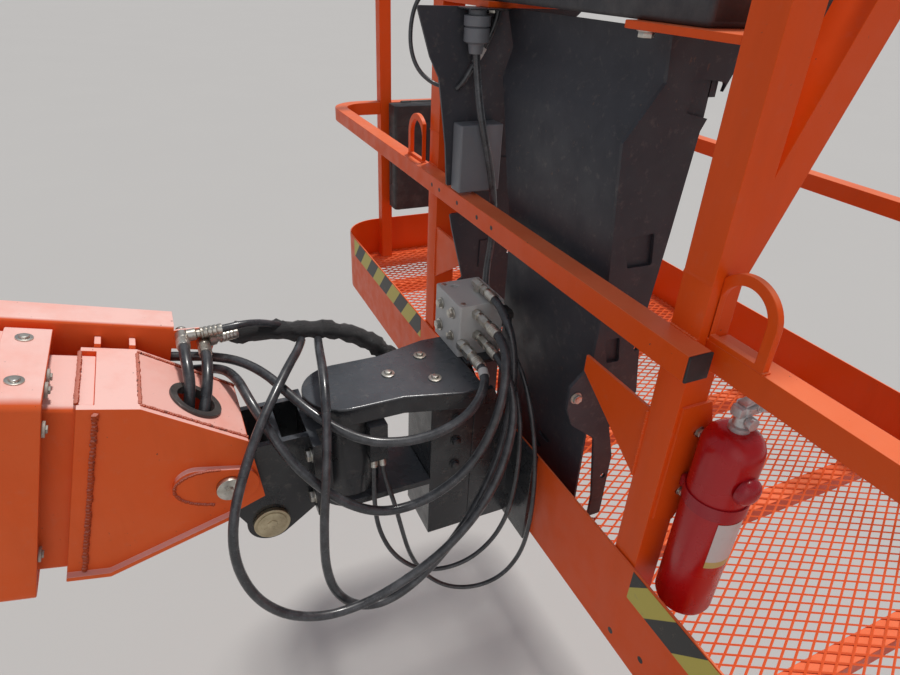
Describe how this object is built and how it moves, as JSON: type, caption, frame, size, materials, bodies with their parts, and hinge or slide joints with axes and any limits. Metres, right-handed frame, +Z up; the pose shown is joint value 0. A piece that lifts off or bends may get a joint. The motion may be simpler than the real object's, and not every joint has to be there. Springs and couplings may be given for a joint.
{
  "type": "boom lift platform and boom tip",
  "caption": "Boom tip of a telescopic boom lift: sliding fly section, levelling head, rotator, hoses and a railed work platform with gate.",
  "frame": {"origin": "centre of the cut rear end of the middle boom section", "axes": "+X along the boom's horizontal direction towards the platform, +Z up, +Y to the left of +X"},
  "size_m": [2.4974, 2.438, 1.2995],
  "materials": {
    "boom_paint": "satin, faded",
    "platform_paint": "gloss",
    "black_paint": "satin",
    "grey_paint": "matte",
    "bright_steel": "zinc plated",
    "block_metal": "matte",
    "grey_metal": "matte",
    "lever_metal": "cast",
    "hose_rubber": "semi-gloss",
    "sleeve_fabric": "woven",
    "black_plastic": "moulded",
    "pad_plastic": "plain",
    "console_plastic": "moulded",
    "red_paint": "gloss"
  },
  "bodies": {
    "mid_boom": {"mid_boom_tube": "boom_paint", "mid_boom_collar": "boom_paint", "front_wear_pads": "pad_plastic"},
    "fly_boom": {"fly_boom_tube": "boom_paint", "rear_wear_pads": "pad_plastic", "fly_nose": "boom_paint", "hose_grommet": "hose_rubber", "level_pivot_pin": "bright_steel", "hose_channel": "boom_paint", "channel_bracket": "boom_paint", "channel_fittings": "bright_steel", "barrel_pin": "bright_steel", "hose_level_a": "hose_rubber", "hose_level_b": "hose_rubber", "hose_upper": "hose_rubber", "hose_middle": "hose_rubber", "hose_low_loop": "hose_rubber", "hose_long_loop": "hose_rubber", "cable_sleeve": "sleeve_fabric"},
    "level_barrel": {"level_barrel": "black_paint"},
    "level_rod": {"level_rod": "bright_steel"},
    "rotator_support": {"support_bracket": "black_paint", "lower_pin_stubs": "bright_steel", "rotator_housing": "black_paint", "rotator_ports": "black_paint", "hose_rotator_a": "hose_rubber", "hose_rotator_b": "hose_rubber"},
    "platform": {"rotator_shaft": "bright_steel", "cap_plate": "black_paint", "lower_plate": "black_paint", "rotator_column": "black_paint", "mount_plates": "black_paint", "floor_frame": "platform_paint", "floor_mesh": "platform_paint", "toe_board": "platform_paint", "rail_posts": "platform_paint", "boom_side_posts": "platform_paint", "mid_rail": "platform_paint", "top_rail": "platform_paint", "rail_plug": "black_plastic", "lanyard_loops": "platform_paint", "post_gussets": "platform_paint", "support_sides": "grey_paint", "support_panel": "grey_paint", "console_shelf": "platform_paint", "control_console": "console_plastic", "control_module": "grey_metal", "valve_bracket": "black_paint", "valve_block": "block_metal", "valve_fittings": "bright_steel", "valve_coils": "black_plastic", "extinguisher_bracket": "platform_paint", "extinguisher_body": "red_paint", "extinguisher_valve": "lever_metal", "extinguisher_band": "red_paint", "document_box": "black_plastic", "gate_hinges": "platform_paint"},
    "gate": {"gate_frame": "platform_paint"},
    "box_lid": {"document_box_lid": "black_plastic"}
  },
  "joints": [
    {"name": "boom_extend", "type": "slide", "parent": "mid_boom", "child": "fly_boom", "axis": [0.9659, 0, -0.2588], "range_m": [0, 0.4]},
    {"name": "platform_level", "type": "hinge", "parent": "fly_boom", "child": "rotator_support", "pos_m": [0.97727, 0, -0.24737], "axis": [0, 1, 0], "range_deg": [-10, 87], "deforming": ["hose_upper", "hose_middle", "hose_low_loop", "hose_long_loop", "cable_sleeve"]},
    {"name": "barrel_swing", "type": "hinge", "parent": "fly_boom", "child": "level_barrel", "pos_m": [0.3696, 0, -0.11974], "axis": [0, 1, 0], "range_deg": [-0.5, 3.5]},
    {"name": "rod_extend", "type": "slide", "parent": "level_barrel", "child": "level_rod", "axis": [0.9301, 0, -0.3673], "range_m": [-0.2, 0.024]},
    {"name": "platform_rotate", "type": "hinge", "parent": "rotator_support", "child": "platform", "pos_m": [1.19727, 0, -0.28187], "axis": [0, 0, 1], "range_deg": [-90, 90], "deforming": ["hose_upper", "hose_middle", "hose_low_loop", "hose_long_loop", "cable_sleeve", "hose_rotator_a", "hose_rotator_b"]},
    {"name": "gate_swing", "type": "hinge", "parent": "platform", "child": "gate", "pos_m": [2.26127, -1.158, 0.36], "axis": [0, 0, 1], "range_deg": [-90, 0], "stiffness_Nm_per_rad": 4, "springref_deg": 11.46},
    {"name": "box_lid_open", "type": "hinge", "parent": "platform", "child": "box_lid", "pos_m": [1.81727, 1.151, 0.09563], "axis": [-1, 0, 0], "range_deg": [0, 90]}
  ],
  "couplings": [
    {"joint": "barrel_swing", "follows": "platform_level", "ratio": 0.038},
    {"joint": "rod_extend", "follows": "platform_level", "m_per_rad": -0.131}
  ]
}
